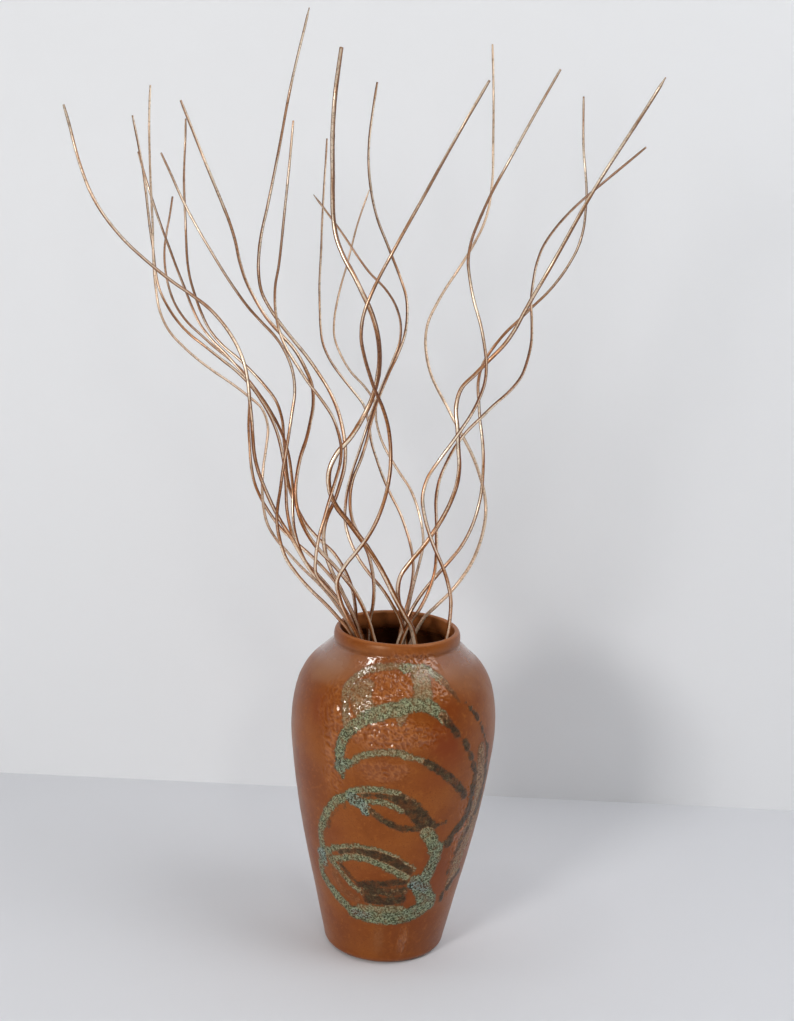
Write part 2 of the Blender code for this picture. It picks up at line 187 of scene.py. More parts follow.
# Trailed strokes, the later ones laid over the earlier ones. Each has its half width at the start
# and at the end, its tone at the start and at the end (0 blue-green, 0.3 green, 0.6 tan, 1 dark
# brown), how thickly it covers, how often it breaks off, and its points as degrees round from the
# front and height.
TRAILS = [
    ("halo", 4.2, 3.6, 0.36, 0.4, 0.55, 0,
     [(-26, 233), (-28, 244), (-30, 254), (-30, 263), (-25, 270), (-15, 275), (-5, 277), (6, 277)]),
    # A grey-green veil of glaze, partly a painted sheen where the window's glints cluster.
    ("veil_and_sheen_in_halo", 10.0, 9.0, 0.38, 0.4, 0.5, 0,
     [(-16, 244), (-20, 252), (-20, 261)]),
    ("first_arc", 4.8, 3.4, 0.34, 0.48, 0.95, 0,
     [(7, 276), (17, 276), (25, 274), (31, 269), (35, 264)]),
    ("first_arc_fade", 3.0, 1.8, 0.72, 0.85, 0.7, 0,
     [(34, 265), (37, 259), (41, 251)]),
    ("band", 7.6, 8.2, 0.5, 0.44, 0.75, 0,
     [(19, 272), (18, 263), (17, 253)]),
    ("drip_from_second_arc", 6.0, 2.5, 0.42, 0.5, 0.6, 0,
     [(4, 245), (4, 237)]),
    ("second_arc_left", 4.2, 6.6, 0.26, 0.34, 1.0, 0,
     [(-29, 200), (-28, 213), (-25, 224), (-20, 233), (-14, 240), (-8, 244)]),
    ("second_arc_top", 6.8, 5.0, 0.36, 0.36, 1.0, 0,
     [(-8, 244), (-1, 247), (6, 250), (14, 251), (20, 250), (25, 245), (29, 239)]),
    ("second_arc_right", 3.6, 3.0, 0.7, 0.95, 1.0, 0,
     [(28, 241), (33, 233), (37, 223)]),
    ("corner_left", 5.0, 2.8, 0.2, 0.3, 1.0, 0,
     [(-29, 193), (-24, 198), (-19, 202)]),
    ("corner_foot", 5.4, 2.4, 0.2, 0.26, 1.0, 0,
     [(-28, 194), (-27, 185)]),
    ("third_arc", 3.0, 3.2, 0.38, 0.48, 1.0, 0,
     [(-19, 204), (-13, 208), (-6, 211), (0, 212), (7, 210), (13, 207), (19, 203)]),
    ("third_arc_end", 3.4, 3.8, 0.82, 0.95, 1.0, 0,
     [(19, 203), (25, 197), (32, 188), (40, 177), (48, 164)]),
    ("upper_ring", 3.6, 3.6, 0.3, 0.4, 1.0, 0,
     [(-26, 167), (-21, 173), (-15, 176), (-9, 177), (-3, 177), (3, 175), (8, 171)]),
    ("upper_ring_turn", 3.4, 3.0, 0.72, 0.86, 1.0, 0,
     [(7, 172), (12, 167), (18, 159), (23, 150), (28, 141)]),
    ("upper_ring_core", 2.2, 3.2, 0.76, 0.88, 1.0, 0,
     [(-15, 171), (-9, 172), (-3, 172), (3, 170), (7, 166)]),
    ("upper_ring_dark", 5.6, 6.0, 0.88, 0.92, 1.0, 0,
     [(6, 167), (11, 162), (15, 155), (20, 147), (24, 139)]),
    ("upper_ring_under", 3.5, 2.6, 0.3, 0.38, 1.0, 0,
     [(-21, 164), (-15, 165), (-9, 166), (-3, 166), (3, 162), (7, 159)]),
    ("upper_ring_left", 4.2, 4.0, 0.34, 0.3, 1.0, 0,
     [(-25, 167), (-32, 160), (-38, 149), (-43, 136), (-47, 123), (-47, 112), (-46, 105)]),
    ("upper_ring_left_core", 1.6, 1.2, 0.82, 0.82, 0.7, 3,
     [(-26, 157), (-32, 150), (-37, 139), (-40, 126)]),
    ("blob", 6.2, 4.8, 0.14, 0.1, 1.0, 0,
     [(-21, 166), (-16, 162), (-13, 157)]),
    ("crescent", 2.6, 3.2, 0.78, 0.9, 1.0, 0,
     [(-10, 157), (-6, 152), (-1, 147), (5, 143), (12, 141), (20, 141), (28, 142)]),
    ("spur", 2.6, 1.6, 0.9, 0.92, 1.0, 0,
     [(28, 142), (36, 143)]),
    ("right_side_top", 6.4, 6.0, 0.34, 0.26, 1.0, 0,
     [(24, 135), (28, 127), (31, 117)]),
    ("right_side", 5.4, 7.4, 0.26, 0.2, 1.0, 0,
     [(34, 119), (33, 110), (31, 102), (29, 93), (27, 83), (31, 71), (35, 60)]),
    ("right_blob", 8.2, 7.6, 0.2, 0.24, 1.0, 0,
     [(22, 87), (27, 77), (31, 64)]),
    ("right_blob_pale", 4.4, 3.8, 0.02, 0.06, 1.0, 0,
     [(18, 84), (23, 82), (29, 78)]),
    ("middle_band_top", 3.2, 2.8, 0.32, 0.48, 1.0, 0,
     [(-44, 104), (-35, 113), (-25, 118), (-16, 120), (-7, 119), (2, 115), (10, 108), (18, 100)]),
    ("middle_band_core", 3.6, 6.0, 0.84, 0.92, 1.0, 0,
     [(-30, 110), (-21, 114), (-12, 115), (-3, 112), (6, 106), (14, 98)]),
    ("middle_band_under", 3.4, 3.6, 0.32, 0.36, 1.0, 0,
     [(-41, 100), (-30, 105), (-21, 109), (-12, 109), (-3, 105), (6, 98), (14, 92)]),
    ("joint_left", 6.0, 5.4, 0.06, 0.14, 1.0, 0,
     [(-49, 101), (-48, 94)]),
    ("left_bridge", 3.6, 4.6, 0.7, 0.7, 0.32, 0,
     [(-38, 91), (-36, 80), (-30, 70), (-22, 66)]),
    ("lower_ring_left", 4.2, 4.8, 0.28, 0.32, 1.0, 0,
     [(-52, 90), (-52, 80), (-46, 71), (-39, 64), (-32, 58), (-24, 52)]),
    ("lower_ring_foot", 7.2, 7.6, 0.3, 0.24, 1.0, 0,
     [(-24, 52), (-14, 51), (-3, 50), (9, 51), (20, 53), (29, 57), (35, 64)]),
    ("lower_ring_pale", 4.2, 3.6, 0.08, 0.14, 0.9, 0,
     [(-23, 52), (-13, 51)]),
    ("inner_ring_left", 3.2, 3.0, 0.36, 0.44, 1.0, 0,
     [(-39, 98), (-34, 93), (-29, 86), (-23, 79), (-16, 75), (-8, 74)]),
    ("inner_ring_left_dark", 1.9, 1.8, 0.86, 0.86, 0.9, 0,
     [(-32, 98), (-27, 91), (-22, 85), (-15, 83)]),
    ("inner_ring_top", 3.4, 3.2, 0.95, 0.9, 1.0, 0,
     [(-19, 82), (-11, 84), (-2, 86), (6, 87), (14, 87)]),
    ("inner_fill_top", 4.4, 4.4, 0.84, 0.76, 1.0, 0,
     [(-14, 76), (-5, 78), (5, 77), (13, 79)]),
    ("inner_fill_foot", 4.8, 4.4, 0.94, 0.88, 1.0, 0,
     [(-12, 68), (-3, 68), (5, 68), (12, 69)]),
    ("inner_fill_low", 3.6, 3.4, 0.46, 0.42, 1.0, 0,
     [(-19, 58), (-9, 59), (1, 59), (12, 60)]),
    ("flank_fill", 5.0, 13.0, 0.6, 0.6, 0.9, 0,
     [(58, 204), (61, 183), (64, 167), (66, 149), (65, 134)]),
    ("flank_fill_low", 13.0, 6.0, 0.6, 0.58, 0.85, 0,
     [(65, 134), (61, 120), (57, 107), (56, 91), (54, 73)]),
    ("first_arc_end", 2.0, 3.0, 0.95, 1.0, 1.0, 9,
     [(46, 248), (50, 240), (55, 231), (59, 219), (63, 208), (67, 198)]),
    ("flank_right", 4.0, 5.4, 0.95, 0.93, 1.0, 7,
     [(66, 200), (68, 186), (71, 172), (70, 160), (69, 149), (67, 140)]),
    ("second_arc_end", 3.2, 4.0, 0.9, 0.95, 1.0, 6,
     [(34, 232), (40, 221), (46, 207), (51, 194), (55, 181), (55, 168)]),
    ("flank_left", 4.6, 5.0, 0.93, 0.86, 1.0, 5,
     [(55, 170), (55, 156), (54, 145), (50, 136), (44, 130), (41, 121)]),
    ("flank_middle", 2.6, 2.0, 0.9, 0.95, 0.9, 8,
     [(62, 138), (58, 126), (53, 113), (49, 100), (47, 86)]),
    ("flank_spot", 3.2, 2.4, 0.95, 1.0, 1.0, 0,
     [(64, 82), (57, 77), (52, 71)]),
    ("flank_last_spot", 2.8, 2.2, 0.95, 1.0, 1.0, 0,
     [(48, 66), (48, 60)]),
    ("smear", 4.0, 4.6, 0.6, 0.6, 0.09, 0,
     [(-3, 40), (-4, 28), (-4, 14)]),
]
TRAIL_STEP = 1.5
TRAIL_REACH = 12
TRAIL_EDGE = 1.3
TRAIL_HEIGHT = 0.3
TRAIL_GRAIN = 2.6
EDGE_WOBBLE = 1.1
WOBBLE_GRAIN = 9.0
BREAK_DEPTH = 2.4
FAR_OFF = 9.0

# Crawled patches: middle in degrees and height, half sizes in degrees and height, and how strong.
CRAWLED = [(12, 282, 25, 6, 0.9), (10, 274, 16, 5, 0.6), (-6, 263, 19, 11, 1.0), (-18, 248, 10, 12, 0.9),
           (-1, 226, 27, 14, 1.0), (-5, 195, 17, 12, 0.7), (-31, 222, 9, 42, 0.8), (-36, 240, 10, 26, 0.6),
           (30, 259, 7, 10, 0.7), (-33, 182, 8, 18, 0.5), (17, 23, 5, 16, 0.8), (56, 125, 12, 55, 0.6),
           (150, 236, 30, 24, 0.6), (-130, 200, 26, 30, 0.5)]

# Where the colour changes in broad soft patches: middle and half sizes as above, then how much. Above nought
# it is greyish pink, partly dry glaze and partly a painted reflection of the pale room at the flanks; below
# nought it is deep red-orange, partly the glaze's own colour and partly painted shade on the lower right.
BLOOMS_SHEEN_SHADE = [(-53, 268, 26, 14, 0.8), (53, 266, 22, 17, 0.5), (74, 215, 14, 50, 0.35), (42, 150, 16, 42, 0.3),
          (78, 80, 20, 90, 0.25), (-76, 90, 12, 120, 0.45), (-4, 29, 8, 17, 0.5), (17, 24, 7, 18, 0.35),
          (26, 224, 11, 15, -0.9), (-46, 236, 10, 18, -0.7), (34, 246, 8, 12, -0.5),
          (24, 185, 14, 12, -0.5), (34, 206, 10, 16, -0.7), (0, 286, 900, 5, 0.3),
          (42, 110, 28, 70, -0.6), (0, 60, 40, 50, -0.35), (-34, 130, 10, 40, -0.3),
          (120, 250, 40, 30, 0.5), (-120, 120, 40, 50, -0.3), (180, 90, 50, 60, 0.3)]
CRAWL_RAGGED = 0.3
BLOOM_SHEEN_SHADE_RAGGED = 0.2
BLOOM_SHEEN_SHADE_INSIDE = 0.4

# The crawled skin is veins and pebbles of glaze. The throwing leaves faint level lines.
CRAWL_GRAIN = 3.3
CRAWL_HEIGHT = 1.15
CRAWL_BEND = 1.6
CRAWL_BEND_GRAIN = 6.0
VEIN_WIDTH = 0.34
THROWN_LINES = 0.10
THROWN_SPACING = 7.0


def smooth_line(knots, step):
    """A smooth line through the knots, with points about one step apart."""
    knots = np.asarray(knots, float)
    chord = np.linalg.norm(np.diff(knots, axis=0), axis=1)
    at = np.concatenate([[0.0], np.cumsum(chord)])
    slope = np.gradient(knots, at, axis=0) if len(knots) > 2 else np.diff(knots, axis=0)[[0, 0]] / chord[0]
    points = []
    for i, length in enumerate(chord):
        for u in np.linspace(0.0, 1.0, max(int(round(length / step)), 1), endpoint=False):
            start = (1 + 2 * u) * (1 - u) ** 2 * knots[i] + length * u * (1 - u) ** 2 * slope[i]
            end = u * u * (3 - 2 * u) * knots[i + 1] + length * u * u * (u - 1) * slope[i + 1]
            points.append(start + end)
    return np.array(points + [knots[-1]])


def ellipse_stretch(middle, across, upwards, start, end, count):
    """Points on a stretch of an ellipse, from one angle in degrees to another."""
    turns = np.radians(np.linspace(start, end, count))
    return np.stack([middle[0] + across * np.cos(turns), middle[1] + upwards * np.sin(turns)], -1)


def vase_rows():
    """The vase's line from the inner floor's middle over the lip to the foot's middle: radius, height."""
    upper = smooth_line(BELLY_LINE, ROW_STEPS["upper"])
    lower = smooth_line(BELLY_LINE, ROW_STEPS["lower"])
    belly = np.vstack([upper[upper[:, 1] > FINE_DOWN_TO], lower[lower[:, 1] <= FINE_DOWN_TO]])
    coarse = smooth_line(BELLY_LINE, ROW_STEPS["hidden"])
    along = np.gradient(coarse, axis=0)
    along /= np.linalg.norm(along, axis=1)[:, None]
    hollow = coarse + VASE_WALL * np.stack([along[:, 1], -along[:, 0]], -1)
    hollow = hollow[(hollow[:, 1] > INNER_FLOOR + INNER_FILLET) & (hollow[:, 0] > THROAT_RADIUS + 1.0)][::-1]
    fillet_middle = (hollow[0, 0] - INNER_FILLET, INNER_FLOOR + INNER_FILLET)
    fillet = ellipse_stretch(fillet_middle, INNER_FILLET, INNER_FILLET, -90, -12, 6)
    inner_floor = [(ring, INNER_FLOOR) for ring in FLOOR_RINGS]
    throat = [(THROAT_RADIUS, level) for level in THROAT_LEVELS]
    lip_in = ellipse_stretch((LIP_RADIUS, VASE_HEIGHT - LIP_INSIDE), LIP_INSIDE, LIP_INSIDE, 180, 90, 6)
    collar = ellipse_stretch((LIP_RADIUS, VASE_HEIGHT - COLLAR_DOWN), COLLAR_OUT, COLLAR_DOWN, 90, 0, 10)[1:]
    foot = ellipse_stretch((FOOT_RADIUS, FOOT_EDGE[1]), *FOOT_EDGE, 0, -90, 9)[1:]
    under = [(ring, 0.0) for ring in UNDER_RINGS]
    return np.vstack([inner_floor, fillet, hollow, throat, lip_in, collar, CREASE, belly, foot, under])


rows = vase_rows()
lip_row = int(rows[:, 1].argmax())
path = np.concatenate([[0.0], np.cumsum(np.linalg.norm(np.diff(rows, axis=0), axis=1))])
front = np.arange(*FRONT_TURNS, FRONT_STEP)
back_count = int((360 - np.ptp(FRONT_TURNS)) / BACK_STEP)
back = np.linspace(FRONT_TURNS[1], FRONT_TURNS[0] + 360.0, back_count, endpoint=False)
turns = np.concatenate([front, back])
row_of, turn_of = np.meshgrid(np.arange(1, len(rows) - 1), np.arange(len(turns)), indexing="ij")
row_of, turn_of = row_of.ravel(), turn_of.ravel()
degrees = (turns[turn_of] + 180.0) % 360.0 - 180.0
radius, height, down = rows[row_of, 0], rows[row_of, 1], path[row_of]
outside = row_of >= lip_row
shown = outside & (height > 0.5)


def down_at(level):
    """Place along the outer line at a height."""
    outer = slice(lip_row, len(rows) - len(UNDER_RINGS))
    return np.interp(level, rows[outer, 1][::-1], path[outer][::-1])


def soft_step(low, high, value):
    """0 up to low, 1 from high on and smooth between them; low may be the larger of the two."""
    share = np.clip((value - low) / (high - low), 0.0, 1.0)
    return share * share * (3 - 2 * share)


def cloud(places, size, seed):
    """Smooth noise from -1 to 1 at places in mm, with lumps of about that size."""
    shift = Vector((seed * 17.3, seed * 5.1, seed * 9.7))
    return np.array([noise.noise(Vector(p) / size + shift) for p in places])


def round_axis(out, up):
    """Points or directions round the vase's axis, from how far out and how far up they go."""
    return np.stack([out * np.sin(angle), -out * np.cos(angle), up], -1)


def patch_reach(turn, level, half_turn, half_height, ragged):
    """How far every point is from a patch's middle, about 1 at its edge."""
    apart = (degrees - turn + 180.0) % 360.0 - 180.0
    return np.hypot(apart / half_turn, (height - level) / half_height) + ragged * wobble


angle = np.radians(turns[turn_of])
places = round_axis(radius, height)
wobble = np.zeros(len(places))
wobble[shown] = cloud(places[shown], WOBBLE_GRAIN, 1)

# Each stroke gives the points near it their distance from its edge, their tone and their cover.
nearest = np.full(len(places), FAR_OFF)
tone = np.full(len(places), 0.5)
cover = np.zeros(len(places))
for name, wide_start, wide_end, tone_start, tone_end, thick, breaks, knots in TRAILS:
    line = smooth_line(knots, TRAIL_STEP)
    share = np.linspace(0.0, 1.0, len(line))
    around, level = line[:, 0], line[:, 1]
    near = shown & (degrees > around.min() - TRAIL_REACH) & (degrees < around.max() + TRAIL_REACH)
    near &= (height > level.min() - TRAIL_REACH) & (height < level.max() + TRAIL_REACH)
    which = np.nonzero(near)[0]
    aside = np.radians(degrees[which, None] - around) * radius[which, None]
    below = down[which, None] - down_at(level)
    gap = np.hypot(aside, below) - (wide_start + (wide_end - wide_start) * share)
    best = gap.argmin(axis=1)
    gap = gap[np.arange(len(which)), best] + EDGE_WOBBLE * wobble[which]
    if breaks:
        beat = [noise.noise(Vector((2.6 * breaks * s, 4.7, breaks))) for s in share]
        gap = gap + BREAK_DEPTH * np.clip(2.2 * np.array(beat)[best] + 0.3, 0.0, 1.0)
    over = np.maximum(soft_step(1.0, -1.0, gap), gap < nearest[which])
    nearest[which] = np.minimum(nearest[which], gap)
    tone_along = tone_start + (tone_end - tone_start) * share[best]
    tone[which] += (tone_along - tone[which]) * over
    cover[which] += (thick - cover[which]) * over
on_trail = soft_step(TRAIL_EDGE, -TRAIL_EDGE, nearest) * cover

crawl = np.zeros(len(places))
for *patch, strong in CRAWLED:
    crawl = np.maximum(crawl, strong * soft_step(1.35, 0.5, patch_reach(*patch, CRAWL_RAGGED)))
crawl[~shown] = 0.0
crawl *= 1.0 - 0.35 * on_trail

bloom_sheen_shade = np.zeros(len(places))
for *patch, much in BLOOMS_SHEEN_SHADE:
    bloom_sheen_shade += much * soft_step(1.5, 0.2, patch_reach(*patch, BLOOM_SHEEN_SHADE_RAGGED))
bloom_sheen_shade[~outside] = BLOOM_SHEEN_SHADE_INSIDE

# Painted shade: darker on the inside below the lip and, more lightly, in the crease under it.
shade_inside = 0.5 * (height < THROAT_LEVELS[-1])
shade_in_crease = 0.3 * np.exp(-((height - CREASE_LEVEL) / CREASE_SPREAD) ** 2)
painted_shade = np.where(row_of < lip_row, shade_inside, shade_in_crease)

# The surface is raised along its outward direction by the crawled skin, the strokes and the lines.
swell = np.zeros(len(places))
skin = crawl > 0.02
bend = np.stack([cloud(places[skin], CRAWL_BEND_GRAIN, seed) for seed in (2, 3, 4)], -1)
bent = places[skin] + CRAWL_BEND * bend
veins = 1.0 - np.abs(cloud(bent, CRAWL_GRAIN, 5)) / VEIN_WIDTH
pebbles = cloud(bent, 0.55 * CRAWL_GRAIN, 6)
raised = np.zeros(len(places))
raised[skin] = 0.8 * np.clip(veins, -0.6, 1.0) + 0.5 * pebbles
swell[skin] = crawl[skin] * CRAWL_HEIGHT * raised[skin]
trailed = on_trail > 0.02
swell[trailed] += on_trail[trailed] * TRAIL_HEIGHT * (0.8 + 0.6 * cloud(places[trailed], TRAIL_GRAIN, 7))
level_only = np.stack([0.02 * degrees[shown], 0 * height[shown], height[shown]], -1)
swell[shown] += THROWN_LINES * cloud(level_only, THROWN_SPACING, 8)
lie = np.gradient(rows, axis=0)
lie /= np.linalg.norm(lie, axis=1)[:, None]
out_r, out_z = -lie[row_of, 1], lie[row_of, 0]
places += swell[:, None] * round_axis(out_r, out_z)
places[:, 2] = np.maximum(places[:, 2], 0.0)

# The rows are joined into one closed skin, with a fan of triangles on the inner floor and the foot.
steps = len(turns)
corner = np.arange(len(places)).reshape(-1, steps)
after = np.roll(corner, -1, axis=1)
quads = np.stack([corner[:-1], corner[1:], after[1:], after[:-1]], -1).reshape(-1, 4)
floor_middle, foot_middle = len(places), len(places) + 1
caps = [(floor_middle, a, b) for a, b in zip(corner[0], after[0])]
caps += [(foot_middle, b, a) for a, b in zip(corner[-1], after[-1])]
points = np.vstack([places, [(0, 0, rows[0, 1]), (0, 0, rows[-1, 1])]]) * MM
vase_mesh = bpy.data.meshes.new("vase_glazed")
vase_mesh.from_pydata(points.tolist(), [], quads.tolist() + [tuple(map(int, cap)) for cap in caps])
vase_mesh.shade_smooth()
for name, values in (("trail", nearest), ("tone", tone), ("cover", cover), ("crawl", crawl),
                     ("raised", raised), ("bloom_sheen_shade", bloom_sheen_shade), ("painted_shade", painted_shade)):
    held = vase_mesh.attributes.new(name, "FLOAT", "POINT")
    held.data.foreach_set("value", np.concatenate([values, [0.0, 0.0]]).astype(np.float32))


def mottle_group():
    """A shader group that gives soft uneven blotches: a mask from 0 to 1 at a given size."""
    group = bpy.data.node_groups.new("mottle", "ShaderNodeTree")
    group.interface.new_socket("Vector", in_out="INPUT", socket_type="NodeSocketVector")
    group.interface.new_socket("Per metre", in_out="INPUT", socket_type="NodeSocketFloat")
    group.interface.new_socket("Low", in_out="INPUT", socket_type="NodeSocketFloat")
    group.interface.new_socket("High", in_out="INPUT", socket_type="NodeSocketFloat")
    group.interface.new_socket("Mask", in_out="OUTPUT", socket_type="NodeSocketFloat")
    given = new_node(group, "NodeGroupInput")
    grain = new_node(group, "ShaderNodeTexNoise", {"Vector": given.outputs["Vector"],
                     "Scale": given.outputs["Per metre"], "Detail": 3.0, "Roughness": 0.6})
    mask = new_node(group, "ShaderNodeMapRange", {"Value": grain.outputs[0],
                    "From Min": given.outputs["Low"], "From Max": given.outputs["High"]},
                    interpolation_type="SMOOTHSTEP")
    result = new_node(group, "NodeGroupOutput")
    group.links.new(mask.outputs[0], result.inputs["Mask"])
    return group


MOTTLE = mottle_group()


def mottle(tree, vector, per_metre, low, high):
    """Places the mottle group and gives its mask."""
    placed = new_node(tree, "ShaderNodeGroup", node_tree=MOTTLE)
    tree.links.new(vector, placed.inputs["Vector"])
    for name, value in (("Per metre", per_metre), ("Low", low), ("High", high)):
        placed.inputs[name].default_value = value
    return placed.outputs["Mask"]


def maths(tree, operation, first, second=0.0, third=0.0):
    """A sum of numbers or sockets; MULTIPLY_ADD is first times second plus third."""
    return new_node(tree, "ShaderNodeMath", {0: first, 1: second, 2: third}, operation=operation).outputs[0]


def ranged(tree, value, low, high, to_low=0.0, to_high=1.0):
    """Value from low to high as to_low to to_high, softly and kept between them."""
    return new_node(tree, "ShaderNodeMapRange", {"Value": value, "From Min": low, "From Max": high,
                    "To Min": to_low, "To Max": to_high}, interpolation_type="SMOOTHSTEP").outputs[0]


def mixed(tree, share, low, high):
    """A colour between two, by share."""
    return new_node(tree, "ShaderNodeMix", {0: share, 6: low, 7: high}, data_type="RGBA").outputs[2]


def attribute(tree, name):
    """A value that the mesh holds at its points."""
    return new_node(tree, "ShaderNodeAttribute", attribute_name=name).outputs["Fac"]


def colour_ramp(tree, value, stops):
    """Colours at places from 0 to 1, blended between."""
    ramp = new_node(tree, "ShaderNodeValToRGB", {0: value})
    for spare in list(ramp.color_ramp.elements)[1:]:
        ramp.color_ramp.elements.remove(spare)
    ramp.color_ramp.elements[0].position = stops[0][0]
    ramp.color_ramp.elements[0].color = stops[0][1]
    for place, colour in stops[1:]:
        ramp.color_ramp.elements.new(place).color = colour
    return ramp.outputs[0]


# The rust ground has blotches of three sizes, then its broad soft patches, partly painted reflection and
# painted shade, then the crawled skin's painted shade and highlight.
glaze, glaze_tree, glaze_shader = new_material("rust_glaze_with_trails")
spot = new_node(glaze_tree, "ShaderNodeTexCoord").outputs["Object"]
crawl_mask = attribute(glaze_tree, "crawl")
rust = mixed(glaze_tree, mottle(glaze_tree, spot, 22.0, 0.35, 0.65), linear(139, 74, 24), linear(121, 57, 12))
rust = mixed(glaze_tree, mottle(glaze_tree, spot, 260.0, 0.5, 0.8), rust, linear(150, 84, 30))
rust = mixed(glaze_tree, mottle(glaze_tree, spot, 900.0, 0.55, 0.75), rust, linear(102, 46, 14))
# Broad patches, partly the glaze's own colour: greyish pink at the flanks is a painted reflection, deep
# red-orange on the lower right is painted shade.
bloom_sheen_shade = attribute(glaze_tree, "bloom_sheen_shade")
rust = mixed(glaze_tree, ranged(glaze_tree, bloom_sheen_shade, 0.0, 1.0, 0.0, 0.75), rust, linear(146, 102, 72))
rust = mixed(glaze_tree, ranged(glaze_tree, bloom_sheen_shade, 0.0, -1.0, 0.0, 0.8), rust, linear(118, 45, 6))
# Painted shade and painted highlight: the crawled skin is darker in its hollows and paler on its ridges,
# standing for the relief's light and shade.
skin_shade_and_highlight = mixed(glaze_tree, ranged(glaze_tree, attribute(glaze_tree, "raised"), 0.0, 1.0),
                  linear(132, 67, 22), linear(176, 107, 54))
rust = mixed(glaze_tree, maths(glaze_tree, "MULTIPLY", crawl_mask, 0.8), rust, skin_shade_and_highlight)

# The strokes have ragged edges. Their tone sets a pale and a deep colour, which the speckle mixes.
from_trail = attribute(glaze_tree, "trail")
covered = attribute(glaze_tree, "cover")
ragged = maths(glaze_tree, "MULTIPLY_ADD", mottle(glaze_tree, spot, 330.0, 0.25, 0.75), 1.8, -0.9)
ragged_fine = maths(glaze_tree, "MULTIPLY_ADD", mottle(glaze_tree, spot, 1300.0, 0.3, 0.7), 1.6, -0.8)
ragged = maths(glaze_tree, "ADD", ragged, ragged_fine)
from_edge = maths(glaze_tree, "ADD", from_trail, ragged)
trail_mask = ranged(glaze_tree, from_edge, 0.9, -0.7)
thin = ranged(glaze_tree, mottle(glaze_tree, spot, 150.0, 0.4, 0.7), 0.0, 1.0, 1.0, 0.72)
trail_mask = maths(glaze_tree, "MULTIPLY", trail_mask, maths(glaze_tree, "MULTIPLY", covered, thin))
tone = attribute(glaze_tree, "tone")
shift = maths(glaze_tree, "MULTIPLY_ADD", mottle(glaze_tree, spot, 240.0, 0.3, 0.7), 0.36, -0.18)
tone_here = maths(glaze_tree, "MULTIPLY_ADD", tone, shift, tone)
pale = colour_ramp(glaze_tree, tone_here, [(0.0, linear(142, 166, 160)), (0.3, linear(147, 156, 121)),
                   (0.5, linear(160, 152, 120)), (0.6, linear(180, 138, 100)), (0.74, linear(88, 76, 50)),
                   (0.86, linear(72, 53, 32)), (1.0, linear(54, 38, 22))])
deep = colour_ramp(glaze_tree, tone_here, [(0.0, linear(18, 34, 32)), (0.3, linear(46, 54, 36)),
                   (0.5, linear(98, 86, 56)), (0.6, linear(88, 54, 34)), (0.74, linear(50, 42, 26)),
                   (0.86, linear(42, 30, 16)), (1.0, linear(32, 22, 12))])
speckle = mottle(glaze_tree, spot, 640.0, 0.4, 0.58)
clumps = maths(glaze_tree, "MULTIPLY", mottle(glaze_tree, spot, 210.0, 0.45, 0.62), 0.4)
trail_colour = mixed(glaze_tree, maths(glaze_tree, "MAXIMUM", speckle, clumps), pale, deep)
edge = maths(glaze_tree, "MULTIPLY", ranged(glaze_tree, from_edge, -1.5, 0.3), 0.8)
trail_colour = mixed(glaze_tree, edge, trail_colour, linear(66, 48, 30))
glazed = mixed(glaze_tree, trail_mask, rust, trail_colour)

# The clay is bare at the foot. Painted shade darkens the inside and the crease under the lip, and on the rim
# the glaze is thinner and paler, partly as a painted highlight.
BARE_LEVELS = (1.6 * MM, 0.4 * MM)
NECK_START = (262.0 * MM, 276.0 * MM)
NECK_END = (281.0 * MM, 284.0 * MM)
RIM_LEVELS = ((VASE_HEIGHT - 2.2) * MM, (VASE_HEIGHT - 0.6) * MM)
level_here = new_node(glaze_tree, "ShaderNodeSeparateXYZ", {0: spot}).outputs["Z"]
bare = ranged(glaze_tree, level_here, *BARE_LEVELS)
clay = mixed(glaze_tree, mottle(glaze_tree, spot, 500.0, 0.4, 0.6), linear(150, 112, 84), linear(122, 88, 64))
# Painted shade: darker inside the vase and in the crease under the lip.
glazed = mixed(glaze_tree, attribute(glaze_tree, "painted_shade"), glazed, linear(72, 37, 18))
# The rim's pale line is partly thin glaze and partly a painted highlight along the lip's edge.
on_rim = ranged(glaze_tree, level_here, *RIM_LEVELS, 0.0, 0.45)
glazed = mixed(glaze_tree, on_rim, glazed, linear(170, 106, 62))
glaze_tree.links.new(mixed(glaze_tree, bare, glazed, clay), glaze_shader.inputs["Base Color"])

# The glaze is smoothest on the crawled skin and the neck, and roughest on the bare clay.
roughness = ranged(glaze_tree, crawl_mask, 0.0, 0.8, 0.33, 0.18)
on_neck = maths(glaze_tree, "MULTIPLY", ranged(glaze_tree, level_here, *NECK_START),
                ranged(glaze_tree, level_here, *NECK_END, 1.0, 0.0))
roughness = maths(glaze_tree, "MULTIPLY_ADD", on_neck, -0.1, roughness)
roughness = maths(glaze_tree, "MULTIPLY_ADD", trail_mask, 0.06, roughness)
roughness = maths(glaze_tree, "MULTIPLY_ADD", bare, 0.5, roughness)
roughness = maths(glaze_tree, "MULTIPLY_ADD", mottle(glaze_tree, spot, 60.0, 0.3, 0.7), 0.05, roughness)
glaze_tree.links.new(roughness, glaze_shader.inputs["Roughness"])
grain = maths(glaze_tree, "MULTIPLY", mottle(glaze_tree, spot, 1500.0, 0.2, 0.8), 0.25)
grain = maths(glaze_tree, "MULTIPLY_ADD", mottle(glaze_tree, spot, 420.0, 0.2, 0.8), crawl_mask, grain)
grain = maths(glaze_tree, "MULTIPLY_ADD", speckle, trail_mask, grain)
relief = new_node(glaze_tree, "ShaderNodeBump", {"Strength": 0.45, "Distance": 0.0003, "Height": grain})
glaze_tree.links.new(relief.outputs[0], glaze_shader.inputs["Normal"])
glaze_shader.inputs["IOR"].default_value = 1.52
glaze_shader.inputs["Specular IOR Level"].default_value = 0.38
glaze_shader.inputs["Specular Tint"].default_value = (1.0, 0.72, 0.48, 1.0)

